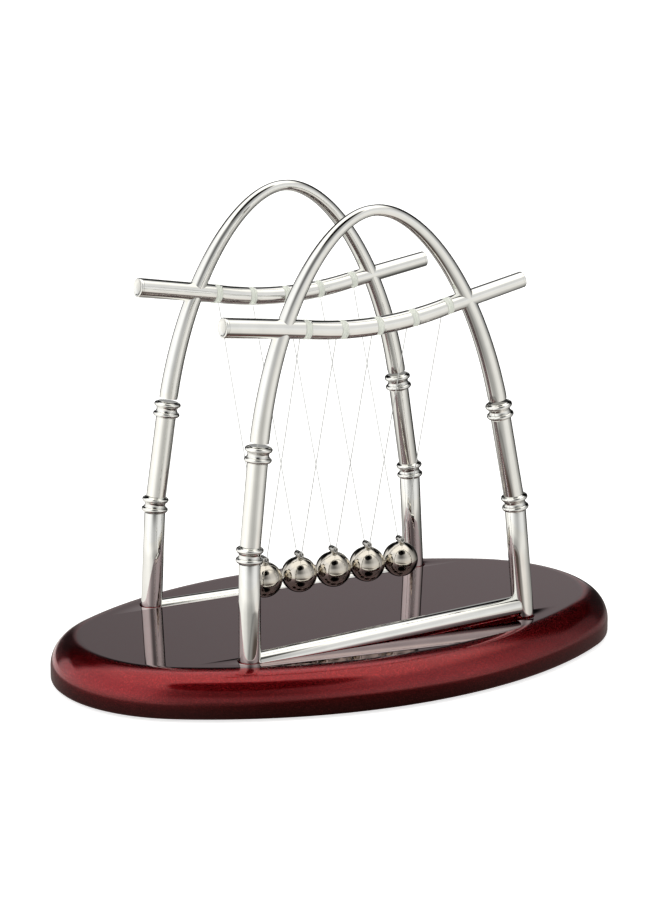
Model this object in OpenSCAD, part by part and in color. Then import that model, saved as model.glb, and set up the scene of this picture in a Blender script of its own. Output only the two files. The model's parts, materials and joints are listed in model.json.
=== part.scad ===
// Newton's cradle with two arched frames on an oval lacquered board.
// Origin: middle of the underside. X runs along the row of balls, Y from front to back, Z up.

/* [Board] */
// Distance from the board's middle to the centre of an end arc, in units of 60 mm
oval_scale = 1.06; // [1:0.01:1.15]
// Radius of the board's two rounded ends, seen from above
end_radius = 54.2; // [50:0.2:58]
// Thickness of the board without its felt
board_thickness = 17; // [13.5:0.5:18]
// Radius of the rolled upper edge
edge_radius = 11.5; // [6:0.5:11.5]
// Thickness of the felt under the board
felt_thickness = 1; // [0.6:0.1:2]

/* [Arches] */
// Distance between the two feet of an arch
foot_spacing = 120.5; // [116:0.5:124]
// Distance between the front arch and the back arch
arch_spacing = 84; // [78:1:90]
// Height of the crown's centre line above the board
crown_height = 163; // [155:1:175]
// Diameter of a leg at the foot
foot_diameter = 8.4; // [8.3:0.1:8.8]
// Diameter of the bow at the crown
crown_diameter = 4.2; // [4:0.1:5]
// Diameter of the stretcher that joins the two feet
stretcher_diameter = 8.2; // [7.2:0.1:8.2]
// How far the right foot of the front arch stands out of its groove, in degrees of tilt
front_tilt = 2.8; // [0:0.1:3]

/* [Crossbars] */
// Distance between the two ends of a crossbar
bar_length = 128.6; // [120:0.2:134]
// Height of the crossbar's lowest point above the board
bar_height = 119.4; // [116:0.2:122]
// Diameter of the crossbar at its left end
bar_left_diameter = 7.6; // [7.2:0.1:8]
// Diameter of the crossbar at its right end
bar_right_diameter = 6.2; // [6.1:0.1:7]

/* [Balls] */
// Diameter of a steel ball
ball_diameter = 14; // [12:0.1:14.4]
// Distance between neighbouring balls, centre to centre
ball_pitch = 15.2; // [15:0.1:15.4]
// Height of the balls' centres above the board
ball_height = 18.5; // [14:0.5:30]
// How far the row of balls hangs in front of the middle
ball_forward = 4.6; // [0:0.2:6]
// Diameter of the nylon thread
thread_diameter = 0.35; // [0.3:0.05:0.5]

/* [Hidden] */
$fn = 48;

LEFT = -1;
RIGHT = 1;
FRONT = -1;
BACK = 1;
play = 0.3;
overlap = 0.5;

// Board: an oval of four tangent arcs. The middle and the centres of a side arc and an end arc
// make a right triangle with sides in these whole numbers, so that the arcs meet exactly.
triangle = [60, 91, 109];
top = felt_thickness + board_thickness;
end_centre = oval_scale * triangle[0];
side_centre = oval_scale * triangle[1];
side_radius = oval_scale * triangle[2] + end_radius;
bottom_chamfer = 1.2;
felt_inset = 6;

// Arch: heights are above the board, x is measured from the middle of the arch
foot_level = -2.3;
front_stretcher_level = -1.4;
back_stretcher_level = -2.4;
foot_peg = 3;
lower_collar_at = [58, 40.9];
upper_collar_at = [52.3, 78.6];
bow_handle = 49;
crown_handle = 20.5;
lower_leg_top_diameter = 8.2;
middle_leg_diameter = 7.8;
upper_leg_diameter = 7.4;
taper_power = 1.1;
bow_steps = 24;
bow_sides = 24;
thread_sides = 8;

// Collars: two rings round a waist, over the joint between two legs
ring_spacing = 3.9;
ring_radius = 1;
collar_height = 6.4;
collar_waist = 7.9;
neck_diameter = 6;
spigot_diameter = 3.6;
spigot_length = 3;

// Crossbar: straight tapered lengths between five waisted grooves, where the threads are tied
bar_curve_radius = 148;
bar_end_slope = 0.165;
groove_radius = 1.6;
groove_depth = 0.8;
cap_thickness = 1.2;
cap_spigot_diameter = 3.4;
cap_spigot_length = 3;
wrap_radius = 0.3;
wrap_pitch = 0.5;
wrap_gap = 0.06;
knot_diameter = 1.5;
knot_angle = 40;
knot_gap = 0.12;

// Screws from below, through the board into the stretchers
screw_x = 35;
screw_diameter = 3;
screw_length = 17.5;
screw_head_diameter = 6;
screw_head_height = 1.8;

// Sleeve on top of each ball
sleeve_diameter = 2.4;
sleeve_bore = 1.1;
sleeve_length = 4.4;
sleeve_height = ball_diameter / 2 + sleeve_diameter / 2 - 0.1;

// ---- Places ----

// A point of an arch, given in the arch's own plane, in the place where the arch stands
function tilt_of(side) = side == FRONT ? front_tilt : 0;
function seat(side, p) =
    let (a = tilt_of(side), dx = p[0] + foot_spacing / 2)
    [
        -foot_spacing / 2 + dx * cos(a) - p[2] * sin(a),
        side * arch_spacing / 2 + p[1],
        top + dx * sin(a) + p[2] * cos(a)
    ];

// Height and diameter of the crossbar at x
tie_span = 2 * ball_pitch;
function bar_level(x) =
    abs(x) <= tie_span
    ? bar_height + x * x / (2 * bar_curve_radius)
    : bar_height + pow(tie_span, 2) / (2 * bar_curve_radius) + (abs(x) - tie_span) * bar_end_slope;
function bar_diameter(x) =
    bar_left_diameter + (bar_right_diameter - bar_left_diameter) * (x + bar_length / 2) / bar_length;
function bar_point(x) = [x, bar_level(x)];
function tie_x(k) = (k - 3) * ball_pitch;

// Direction of the bar at a tie, in degrees above the horizontal
function tie_slope(k) =
    let (a = bar_point(tie_x(k) - ball_pitch / 2), b = bar_point(tie_x(k) + ball_pitch / 2))
    atan2(b[1] - a[1], b[0] - a[0]);

// Centre of the knot that ends the thread of ball k on one arch
function knot_reach(k) = bar_diameter(tie_x(k)) / 2 + 0.45;
function knot(side, k) =
    seat(side, [
        tie_x(k) - 0.5,
        -side * knot_reach(k) * cos(knot_angle),
        bar_level(tie_x(k)) - knot_reach(k) * sin(knot_angle)
    ]);

// A ball hangs in the upright plane through its two knots
function ball_centre(k) =
    let (f = knot(FRONT, k), b = knot(BACK, k), s = (-ball_forward - f[1]) / (b[1] - f[1]))
    [f[0] + (b[0] - f[0]) * s, -ball_forward, top + ball_height];
function hang_angle(k) =
    let (f = knot(FRONT, k), b = knot(BACK, k))
    atan2(f[0] - b[0], b[1] - f[1]);
function sleeve_end(side, k) =
    let (c = ball_centre(k), a = hang_angle(k), h = side * sleeve_length / 2)
    [c[0] - h * sin(a), c[1] + h * cos(a), c[2] + sleeve_height];
function unit(v) = v / norm(v);
function thread_end(side, k) =
    let (a = knot(side, k), b = sleeve_end(side, k))
    a + unit(b - a) * (knot_diameter / 2 + knot_gap);

// Centre line of the right half of an arch above its upper collar
lean = atan2(lower_collar_at[0] - upper_collar_at[0], upper_collar_at[1] - lower_collar_at[1]);
half_bow = [
    upper_collar_at,
    upper_collar_at + bow_handle * [-sin(lean), cos(lean)],
    [crown_handle, crown_height],
    [0, crown_height]
];
function bezier(p, t) =
    pow(1 - t, 3) * p[0] + 3 * pow(1 - t, 2) * t * p[1] + 3 * (1 - t) * t * t * p[2] + pow(t, 3) * p[3];
function bezier_rate(p, t) =
    pow(1 - t, 2) * (p[1] - p[0]) + 2 * (1 - t) * t * (p[2] - p[1]) + t * t * (p[3] - p[2]);
// u runs from 0 at the right collar, past 1 at the crown, to 2 at the left collar
function bow_point(u) =
    let (p = bezier(half_bow, u <= 1 ? u : 2 - u))
    u <= 1 ? p : [-p[0], p[1]];
function bow_direction(u) =
    let (r = bezier_rate(half_bow, u <= 1 ? u : 2 - u))
    unit(u <= 1 ? r : [r[0], -r[1]]);
function bow_diameter(u) =
    upper_leg_diameter - (upper_leg_diameter - crown_diameter) * pow(1 - abs(1 - u), taper_power);
// Where the bow's centre line meets the crossbar's, found by halving
function crossing(low, high, rounds) =
    let (middle = (low + high) / 2, p = bow_point(middle))
    rounds == 0 ? middle
    : p[1] < bar_level(p[0]) ? crossing(middle, high, rounds - 1)
    : crossing(low, middle, rounds - 1);
bar_crossing = crossing(0, 1, 20);

// ---- Shared shapes ----

// Puts an arch's own shapes where the arch stands
module seated(side) {
    translate([-foot_spacing / 2, side * arch_spacing / 2, top])
        rotate([0, -tilt_of(side), 0])
            translate([foot_spacing / 2, 0, 0])
                children();
}

// Round rod between two points of the arch's plane
module rod(a, b, start_diameter, end_diameter, before = 0, after = 0) {
    way = b - a;
    translate([a[0], 0, a[1]])
        rotate([0, atan2(way[0], way[1]), 0])
            translate([0, 0, -before])
                cylinder(h = norm(way) + before + after, d1 = start_diameter, d2 = end_diameter);
}

// Stands a shape on a collar's place, along the leg there
function collar_angle(at) = at == lower_collar_at
    ? (atan2(foot_spacing / 2 - lower_collar_at[0], lower_collar_at[1]) + lean) / 2
    : lean;
module at_collar(at, hand) {
    translate([hand * at[0], 0, at[1]])
        rotate([0, -hand * collar_angle(at), 0])
            children();
}

// The space that a collar takes from the legs it joins
module collar_space(at, hand) {
    at_collar(at, hand)
        translate([0, 0, -collar_height / 2])
            cylinder(h = collar_height, d = foot_diameter * 2);
}

// Neck that runs through a collar, with the spigot that plugs into the leg above
module neck(at, hand) {
    at_collar(at, hand) {
        translate([0, 0, -collar_height / 2 - overlap])
            cylinder(h = collar_height + overlap, d = neck_diameter);
        cylinder(h = collar_height / 2 + spigot_length, d = spigot_diameter);
    }
}

module spigot_socket(at, hand) {
    at_collar(at, hand)
        cylinder(h = collar_height / 2 + spigot_length + play, d = spigot_diameter);
}

module collar(at, hand) {
    color("silver")
        at_collar(at, hand)
            difference() {
                union() {
                    translate([0, 0, -collar_height / 2])
                        cylinder(h = collar_height, d = collar_waist);
                    for (z = [-ring_spacing / 2, ring_spacing / 2])
                        translate([0, 0, z])
                            rotate_extrude()
                                translate([foot_diameter / 2, 0])
                                    circle(r = ring_radius);
                }
                translate([0, 0, -collar_height])
                    cylinder(h = 2 * collar_height, d = neck_diameter);
            }
}

// Faces of a closed tube made of steps + 1 rings of points
function tube_faces(steps, sides) = concat(
    [
        for (i = [0:steps - 1])
            for (j = [0:sides - 1])
                let (a = i * sides + j, b = i * sides + (j + 1) % sides)
                each [[a, b, b + sides], [a, b + sides, a + sides]]
    ],
    [[for (j = [sides - 1:-1:0]) j], [for (j = [0:sides - 1]) steps * sides + j]]
);

// Tapered tube along the bow, from u = start to u = finish
module bow_tube(start, finish, steps) {
    rings = [
        for (i = [0:steps])
            let (
                u = start + (finish - start) * i / steps,
                c = bow_point(u),
                t = bow_direction(u),
                r = bow_diameter(u) / 2
            )
            for (j = [0:bow_sides - 1])
                let (a = 360 * j / bow_sides)
                [c[0] + r * cos(a) * t[1], r * sin(a), c[1] - r * cos(a) * t[0]]
    ];
    polyhedron(points = rings, faces = tube_faces(steps, bow_sides));
}

// ---- Board ----

// The sector of the plan that a side arc or an end arc shapes
function along_seam(t) = [end_centre + t * triangle[0], t * triangle[1]];
module side_sector(side) {
    p = along_seam(-0.2);
    q = along_seam(2);
    scale([1, side])
        polygon([[-p[0], p[1]], p, q, [-q[0], q[1]]]);
}

module end_sector(hand) {
    q = along_seam(2);
    scale([hand, 1])
        polygon([[end_centre, 0], [q[0], -q[1]], q]);
}

module oval(inset) {
    for (side = [FRONT, BACK])
        intersection() {
            translate([0, -side * side_centre])
                circle(r = side_radius - inset);
            side_sector(side);
        }
    for (hand = [LEFT, RIGHT])
        intersection() {
            translate([hand * end_centre, 0])
                circle(r = end_radius - inset);
            end_sector(hand);
        }
}

// Round disc with the board's rolled edge
module rolled_disc(radius) {
    corner = [radius - edge_radius, board_thickness - edge_radius];
    rotate_extrude() {
        polygon([
            [0, 0],
            [radius - bottom_chamfer, 0],
            [radius, bottom_chamfer],
            [radius, corner[1]],
            corner,
            [corner[0], board_thickness],
            [0, board_thickness]
        ]);
        intersection() {
            translate(corner)
                circle(r = edge_radius);
            translate(corner)
                square(edge_radius);
        }
    }
}

module board_body() {
    for (side = [FRONT, BACK])
        intersection() {
            translate([0, -side * side_centre, 0])
                rolled_disc(side_radius);
            linear_extrude(board_thickness)
                side_sector(side);
        }
    for (hand = [LEFT, RIGHT])
        intersection() {
            translate([hand * end_centre, 0, 0])
                rolled_disc(end_radius);
            linear_extrude(board_thickness)
                end_sector(hand);
        }
}

// Flat-bottomed trough in which a stretcher and the two feet lie
module groove() {
    width = foot_diameter + 2 * play;
    depth = foot_diameter / 2 + play - foot_level;
    translate([0, 0, -depth])
        linear_extrude(depth + 1) {
            square([foot_spacing, width], center = true);
            for (x = [-foot_spacing / 2, foot_spacing / 2])
                translate([x, 0])
                    circle(d = width);
        }
}

module screw_places() {
    for (side = [FRONT, BACK])
        for (x = [-screw_x, screw_x])
            translate([x, side * arch_spacing / 2, felt_thickness])
                children();
}

module base_board() {
    color("#4a0c12")
        difference() {
            translate([0, 0, felt_thickness])
                board_body();
            for (side = [FRONT, BACK])
                translate([0, side * arch_spacing / 2, top])
                    groove();
            screw_places() {
                translate([0, 0, -1])
                    cylinder(h = board_thickness + 2, d = screw_diameter + play);
                cylinder(
                    h = screw_head_height + play,
                    d1 = screw_head_diameter + 2 * play,
                    d2 = screw_diameter + play
                );
            }
        }
}

module felt_sheet() {
    color("#2a2422")
        linear_extrude(felt_thickness)
            oval(felt_inset);
}

module frame_screws() {
    color("#8a8a88")
        screw_places() {
            cylinder(h = screw_head_height, d1 = screw_head_diameter, d2 = screw_diameter);
            cylinder(h = screw_length, d = screw_diameter);
        }
}

// ---- Arch parts, each one drawn in the arch's own plane ----

// The peg is the straight length below foot_level
module lower_leg_body(hand, peg) {
    foot = [hand * foot_spacing / 2, foot_level];
    collar_at = [hand * lower_collar_at[0], lower_collar_at[1]];
    rod(foot, collar_at, foot_diameter, lower_leg_top_diameter, peg);
}

module lower_leg(side, hand) {
    color("silver")
        seated(side) {
            difference() {
                lower_leg_body(hand, foot_peg);
                collar_space(lower_collar_at, hand);
            }
            neck(lower_collar_at, hand);
        }
}

module middle_leg(side, hand) {
    a = [hand * lower_collar_at[0], lower_collar_at[1]];
    b = [hand * upper_collar_at[0], upper_collar_at[1]];
    color("silver")
        seated(side) {
            difference() {
                rod(a, b, middle_leg_diameter, middle_leg_diameter);
                collar_space(lower_collar_at, hand);
                collar_space(upper_collar_at, hand);
                spigot_socket(lower_collar_at, hand);
            }
            neck(upper_collar_at, hand);
        }
}

module upper_leg(side, hand) {
    start = hand == RIGHT ? 0 : 2 - bar_crossing;
    finish = hand == RIGHT ? bar_crossing : 2;
    color("silver")
        seated(side)
            difference() {
                bow_tube(start, finish, bow_steps / 2);
                collar_space(upper_collar_at, hand);
                spigot_socket(upper_collar_at, hand);
                bar_body();
            }
}

module bow(side) {
    color("silver")
        seated(side)
            difference() {
                bow_tube(bar_crossing, 2 - bar_crossing, 2 * bow_steps);
                bar_body();
            }
}

// The front stretcher is joined to its legs a little higher than the back one
module stretcher(side) {
    level = side == FRONT ? front_stretcher_level : back_stretcher_level;
    color("silver")
        difference() {
            seated(side)
                difference() {
                    translate([0, 0, level])
                        rotate([0, 90, 0])
                            cylinder(h = foot_spacing, d = stretcher_diameter, center = true);
                    lower_leg_body(LEFT, foot_diameter);
                    lower_leg_body(RIGHT, foot_diameter);
                }
            screw_places()
                cylinder(h = screw_length + play, d = screw_diameter);
        }
}

// ---- Crossbars ----

bar_end = bar_length / 2 - cap_thickness;
bar_stations = [-bar_end, for (k = [1:5]) tie_x(k), bar_end];

module bar_body() {
    for (i = [0:len(bar_stations) - 2]) {
        a = bar_stations[i];
        b = bar_stations[i + 1];
        rod(
            bar_point(a), bar_point(b), bar_diameter(a), bar_diameter(b),
            i == 0 ? 0 : overlap, i == len(bar_stations) - 2 ? 0 : overlap
        );
    }
}

// Stands a shape on a tie's place, with its z along the bar
module at_tie(k) {
    translate([tie_x(k), 0, bar_level(tie_x(k))])
        rotate([0, 90 - tie_slope(k), 0])
            children();
}

module at_bar_end(hand) {
    translate([hand * bar_end, 0, bar_level(bar_end)])
        rotate([0, hand * (90 - atan(bar_end_slope)), 0])
            children();
}

module crossbar(side) {
    color("silver")
        seated(side)
            difference() {
                bar_body();
                for (k = [1:5])
                    at_tie(k)
                        rotate_extrude()
                            translate([bar_diameter(tie_x(k)) / 2 + groove_radius - groove_depth, 0])
                                circle(r = groove_radius);
                for (hand = [LEFT, RIGHT])
                    at_bar_end(hand)
                        translate([0, 0, -cap_spigot_length - play])
                            cylinder(h = cap_spigot_length + play + 1, d = cap_spigot_diameter);
            }
}

module cap(side, hand) {
    radius = bar_diameter(hand * bar_end) / 2;
    bevel = 0.35;
    color("silver")
        seated(side)
            at_bar_end(hand) {
                rotate_extrude()
                    polygon([
                        [0, 0],
                        [radius, 0],
                        [radius, cap_thickness - bevel],
                        [radius - bevel, cap_thickness],
                        [0, cap_thickness]
                    ]);
                translate([0, 0, -cap_spigot_length])
                    cylinder(h = cap_spigot_length + 0.1, d = cap_spigot_diameter);
            }
}

// Four turns of thread in each groove, and the knot that holds the free end
function turn_reach(k, x) =
    bar_diameter(tie_x(k)) / 2 + groove_radius - groove_depth
    - sqrt(pow(groove_radius - wrap_radius - wrap_gap, 2) - x * x);
module knots(side) {
    color("#dfe6dc")
        for (k = [1:5]) {
            seated(side)
                at_tie(k)
                    for (turn = [-1.5:1:1.5])
                        translate([0, 0, turn * wrap_pitch])
                            rotate_extrude()
                                translate([turn_reach(k, turn * wrap_pitch), 0])
                                    circle(r = wrap_radius, $fn = 16);
            translate(knot(side, k))
                sphere(d = knot_diameter);
        }
}

// ---- Balls ----

module sleeve_body(k, diameter, length) {
    translate(ball_centre(k) + [0, 0, sleeve_height])
        rotate([0, 0, hang_angle(k)])
            rotate([90, 0, 0])
                cylinder(h = length, d = diameter, center = true);
}

module ball(k) {
    color("#9a9a96")
        difference() {
            translate(ball_centre(k))
                sphere(d = ball_diameter);
            sleeve_body(k, sleeve_diameter, ball_diameter);
        }
}

module sleeve(k) {
    color("#b8b8b4")
        difference() {
            sleeve_body(k, sleeve_diameter, sleeve_length);
            sleeve_body(k, sleeve_bore, sleeve_length + 1);
        }
}

// Thread as one tube, mitred where it bends at the sleeve's two mouths
module thread(k) {
    path = [thread_end(FRONT, k), sleeve_end(FRONT, k), sleeve_end(BACK, k), thread_end(BACK, k)];
    across = [cos(hang_angle(k)), sin(hang_angle(k)), 0];
    steps = [for (i = [0:2]) unit(path[i + 1] - path[i])];
    rings = [
        for (i = [0:3])
            let (
                t = unit(steps[max(i - 1, 0)] + steps[min(i, 2)]),
                stretch = 1 / (t * steps[min(i, 2)]),
                side = cross(across, t) * stretch
            )
            for (j = [0:thread_sides - 1])
                let (a = 360 * j / thread_sides)
                path[i] + thread_diameter / 2 * (cos(a) * side + sin(a) * across)
    ];
    color("#e8efe6")
        polyhedron(points = rings, faces = tube_faces(3, thread_sides));
}

base_board();
felt_sheet();
frame_screws();
stretcher(FRONT);  // front_stretcher
stretcher(BACK);  // back_stretcher
lower_leg(FRONT, LEFT);  // front_left_lower_leg
lower_leg(FRONT, RIGHT);  // front_right_lower_leg
lower_leg(BACK, LEFT);  // back_left_lower_leg
lower_leg(BACK, RIGHT);  // back_right_lower_leg
middle_leg(FRONT, LEFT);  // front_left_middle_leg
middle_leg(FRONT, RIGHT);  // front_right_middle_leg
middle_leg(BACK, LEFT);  // back_left_middle_leg
middle_leg(BACK, RIGHT);  // back_right_middle_leg
upper_leg(FRONT, LEFT);  // front_left_upper_leg
upper_leg(FRONT, RIGHT);  // front_right_upper_leg
upper_leg(BACK, LEFT);  // back_left_upper_leg
upper_leg(BACK, RIGHT);  // back_right_upper_leg
seated(FRONT) collar(lower_collar_at, LEFT);  // front_left_lower_collar
seated(FRONT) collar(lower_collar_at, RIGHT);  // front_right_lower_collar
seated(BACK) collar(lower_collar_at, LEFT);  // back_left_lower_collar
seated(BACK) collar(lower_collar_at, RIGHT);  // back_right_lower_collar
seated(FRONT) collar(upper_collar_at, LEFT);  // front_left_upper_collar
seated(FRONT) collar(upper_collar_at, RIGHT);  // front_right_upper_collar
seated(BACK) collar(upper_collar_at, LEFT);  // back_left_upper_collar
seated(BACK) collar(upper_collar_at, RIGHT);  // back_right_upper_collar
bow(FRONT);  // front_bow
bow(BACK);  // back_bow
crossbar(FRONT);  // front_crossbar
crossbar(BACK);  // back_crossbar
cap(FRONT, LEFT);  // front_left_cap
cap(FRONT, RIGHT);  // front_right_cap
cap(BACK, LEFT);  // back_left_cap
cap(BACK, RIGHT);  // back_right_cap
knots(FRONT);  // front_knots
knots(BACK);  // back_knots
ball(1);  // ball_1
ball(2);  // ball_2
ball(3);  // ball_3
ball(4);  // ball_4
ball(5);  // ball_5
sleeve(1);  // ball_1_sleeve
sleeve(2);  // ball_2_sleeve
sleeve(3);  // ball_3_sleeve
sleeve(4);  // ball_4_sleeve
sleeve(5);  // ball_5_sleeve
thread(1);  // ball_1_thread
thread(2);  // ball_2_thread
thread(3);  // ball_3_thread
thread(4);  // ball_4_thread
thread(5);  // ball_5_thread
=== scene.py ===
import json
import math

import bmesh
import bpy
from mathutils import Matrix, Vector
from mathutils.geometry import tessellate_polygon


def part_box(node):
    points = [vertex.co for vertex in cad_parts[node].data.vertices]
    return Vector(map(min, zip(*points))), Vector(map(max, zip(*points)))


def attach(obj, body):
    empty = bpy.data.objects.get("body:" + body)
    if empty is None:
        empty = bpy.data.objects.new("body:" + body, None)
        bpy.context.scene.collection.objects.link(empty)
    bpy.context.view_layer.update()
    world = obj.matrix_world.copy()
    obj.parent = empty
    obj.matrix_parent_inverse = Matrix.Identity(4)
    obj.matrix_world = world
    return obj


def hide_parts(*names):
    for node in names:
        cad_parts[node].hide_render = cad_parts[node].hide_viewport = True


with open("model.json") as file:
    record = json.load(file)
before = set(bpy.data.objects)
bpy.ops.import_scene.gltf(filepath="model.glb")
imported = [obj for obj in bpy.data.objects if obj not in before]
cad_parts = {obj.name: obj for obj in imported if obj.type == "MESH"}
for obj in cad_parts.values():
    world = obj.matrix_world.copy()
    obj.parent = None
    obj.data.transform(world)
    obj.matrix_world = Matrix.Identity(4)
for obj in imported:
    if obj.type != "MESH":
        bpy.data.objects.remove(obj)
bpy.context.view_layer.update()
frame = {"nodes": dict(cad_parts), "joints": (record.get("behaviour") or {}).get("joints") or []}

# ---- Sizes of the part, in metres ----

MM = 0.001
STAND = "stand"
SIDES = ("front", "back")
HANDS = {"left": -1, "right": 1}

FOOT_SPACING = 120.5 * MM
FOOT_RADIUS = 4.2 * MM
FOOT_PEG = 3 * MM
LOWER_LEG_TOP_RADIUS = 4.1 * MM
MIDDLE_LEG_RADIUS = 3.9 * MM
UPPER_LEG_RADIUS = 3.7 * MM
NECK_RADIUS = 3.1 * MM
COLLAR_HALF = 3.2 * MM
COLLAR_BORE_RADIUS = 3.0 * MM
SOFT_EDGE = 0.15 * MM
CROWN_RADIUS = 2.1 * MM
FOOT_LEVEL = -2.3 * MM
STRETCHER_RADIUS = 4.1 * MM
STRETCHER_LEVEL = {"front": -1.4 * MM, "back": -2.4 * MM}
# A collar's middle: its distance from the arch's middle line, and its height above the board
LOWER_COLLAR = Vector((58, 40.9)) * MM
UPPER_COLLAR = Vector((52.3, 78.6)) * MM
CROWN_HEIGHT = 163 * MM
CROWN_HANDLE = 20.5 * MM
BOW_HANDLE = 49 * MM
TAPER_POWER = 1.1

BAR_HALF = 64.3 * MM
BAR_HEIGHT = 119.4 * MM
BAR_CURVE_RADIUS = 148 * MM
BAR_SLOPE = 0.165
BAR_LEFT_RADIUS = 3.8 * MM
BAR_RIGHT_RADIUS = 3.1 * MM
CAP_THICKNESS = 1.2 * MM
PITCH = 15.2 * MM
TIE_SPAN = 2 * PITCH
GROOVE_RADIUS = 1.6 * MM
GROOVE_DEPTH = 0.8 * MM

# The board's outline has four tangent arcs. Its middle and the centres of a side arc and an end
# arc are the corners of a right triangle, and the arcs meet along its longest side.
OVAL_SCALE = 1.06 * MM
TRIANGLE = (60, 91, 109)
SEAM_ANGLE = math.atan2(TRIANGLE[1], TRIANGLE[0])
SEAM_RISE = TRIANGLE[1] / TRIANGLE[2]
END_CENTRE = TRIANGLE[0] * OVAL_SCALE
SIDE_CENTRE = TRIANGLE[1] * OVAL_SCALE
END_RADIUS = 54.2 * MM
SIDE_RADIUS = END_RADIUS + TRIANGLE[2] * OVAL_SCALE
EDGE_RADIUS = 11.5 * MM
TROUGH_RADIUS = 4.5 * MM
FELT_INSET = 6 * MM

BALLS = range(1, 6)
MIDDLE_BALL = 3
THREAD_RADIUS = 0.175 * MM
WRAP_RADIUS = 0.21 * MM
KNOT_THREAD_RADIUS = 0.19 * MM
TAIL_RADIUS = 0.15 * MM
SLEEVE_HALF = 2.2 * MM
SLEEVE_RADIUS = 1.2 * MM
SLEEVE_BORE_RADIUS = 0.55 * MM

# ---- Places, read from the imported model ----

board_low, board_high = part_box("base_board")
felt_low, felt_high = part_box("felt_sheet")
TOP = board_high.z


def middle(node):
    """The middle of a node's box."""
    low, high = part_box(node)
    return (low + high) / 2


def arch_place(side):
    """The matrix that puts an arch's own plane (x, depth, height above the board) in its place."""
    span = middle(side + "_right_lower_collar") - middle(side + "_left_lower_collar")
    tilt = math.atan2(span.z, span.x)
    depth = middle(side + "_bow").y
    foot = Matrix.Translation((FOOT_SPACING / 2, 0, 0))
    return Matrix.Translation((-FOOT_SPACING / 2, depth, TOP)) @ Matrix.Rotation(-tilt, 4, "Y") @ foot


PLACE = {side: arch_place(side) for side in SIDES}


def unit(v):
    return v.normalized()


# ---- Camera ----

CAMERA_AZIMUTH = math.radians(-29.046)
CAMERA_ELEVATION = math.radians(13.748)
CAMERA_DISTANCE = 1.2325
CAMERA_RIGHT = -0.00231
CAMERA_UP = 0.06304
CAMERA_LENS_MM = 125.19
CAMERA_FILM_MM = 36


def place_camera():
    """Fitted to the photo. The spot is given along the camera's own right, up and back directions."""
    a, e = CAMERA_AZIMUTH, CAMERA_ELEVATION
    back = Vector((math.sin(a) * math.cos(e), -math.cos(a) * math.cos(e), math.sin(e)))
    right = Vector((math.cos(a), math.sin(a), 0))
    up = back.cross(right)
    data = bpy.data.cameras.new("camera")
    data.lens = CAMERA_LENS_MM
    data.sensor_width = CAMERA_FILM_MM
    data.clip_start = 0.05
    data.clip_end = 40
    camera = bpy.data.objects.new("camera", data)
    bpy.context.scene.collection.objects.link(camera)
    board_middle = Vector((0, 0, TOP))
    spot = board_middle + right * CAMERA_RIGHT + up * CAMERA_UP + back * CAMERA_DISTANCE
    turn = Matrix((right, up, back)).transposed().to_4x4()
    camera.matrix_world = Matrix.Translation(spot) @ turn
    bpy.context.scene.camera = camera


place_camera()

# ---- Materials ----


def rgb(red, green, blue):
    return (red, green, blue, 1)


def grey(level):
    return rgb(level, level, level)


class Nodes:
    """Short calls for building one node tree."""

    def __init__(self, tree):
        self.tree = tree
        tree.nodes.clear()

    def add(self, kind, **settings):
        node = self.tree.nodes.new("ShaderNode" + kind)
        for key, value in settings.items():
            setattr(node, key, value)
        return node

    def join(self, source, target):
        self.tree.links.new(source, target)

    def fill(self, socket, value):
        """Links the socket where the value is a socket too, and sets it otherwise."""
        if isinstance(value, bpy.types.NodeSocket):
            self.join(value, socket)
        else:
            socket.default_value = value

    def put(self, node, **values):
        for key, value in values.items():
            self.fill(node.inputs[key.replace("_", " ")], value)
        return node

    def noise(self, scale, detail=3.0, roughness=0.5, vector=None, stretch=None):
        """Noise in the object's own space. A stretch under 1 draws it out along that axis."""
        if vector is None:
            vector = self.add("TexCoord").outputs["Object"]
        if stretch is not None:
            mapping = self.add("Mapping")
            self.put(mapping, Vector=vector, Scale=stretch)
            vector = mapping.outputs[0]
        texture = self.add("TexNoise")
        self.put(texture, Vector=vector, Scale=scale, Detail=detail, Roughness=roughness)
        return texture.outputs[0]

    def spread(self, value, low, high, start=0.0, stop=1.0, smooth=False):
        """Goes from low to high while value goes from start to stop."""
        node = self.add("MapRange", clamp=True)
        if smooth:
            node.interpolation_type = "SMOOTHSTEP"
        self.put(node, Value=value)
        node.inputs[1].default_value = start
        node.inputs[2].default_value = stop
        node.inputs[3].default_value = low
        node.inputs[4].default_value = high
        return node.outputs[0]

    def math(self, operation, a, b=None):
        node = self.add("Math", operation=operation)
        self.fill(node.inputs[0], a)
        if b is not None:
            self.fill(node.inputs[1], b)
        return node.outputs[0]

    def vector_math(self, operation, a, b):
        node = self.add("VectorMath", operation=operation)
        self.fill(node.inputs[0], a)
        self.fill(node.inputs[1], b)
        return node

    def dot(self, a, b):
        return self.vector_math("DOT_PRODUCT", a, b).outputs["Value"]

    def distance(self, a, b):
        return self.vector_math("DISTANCE", a, b).outputs["Value"]

    def blend(self, factor, a, b):
        node = self.add("Mix", data_type="RGBA")
        for index, value in ((0, factor), (6, a), (7, b)):
            self.fill(node.inputs[index], value)
        return node.outputs[2]

    def ramp(self, value, stops):
        """A grey curve through (input from 0 to 1, output) stops."""
        node = self.add("ValToRGB")
        self.join(value, node.inputs[0])
        line = node.color_ramp
        line.interpolation = "EASE"
        while len(line.elements) > 1:
            line.elements.remove(line.elements[-1])
        start, level = stops[0]
        line.elements[0].position = start
        line.elements[0].color = grey(level)
        for place, level in stops[1:]:
            line.elements.new(place).color = grey(level)
        return node.outputs[0]

    def bump(self, height, distance, strength, normal=None):
        node = self.put(self.add("Bump"), Height=height, Distance=distance, Strength=strength)
        if normal is not None:
            self.join(normal, node.inputs["Normal"])
        return node.outputs[0]


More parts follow.
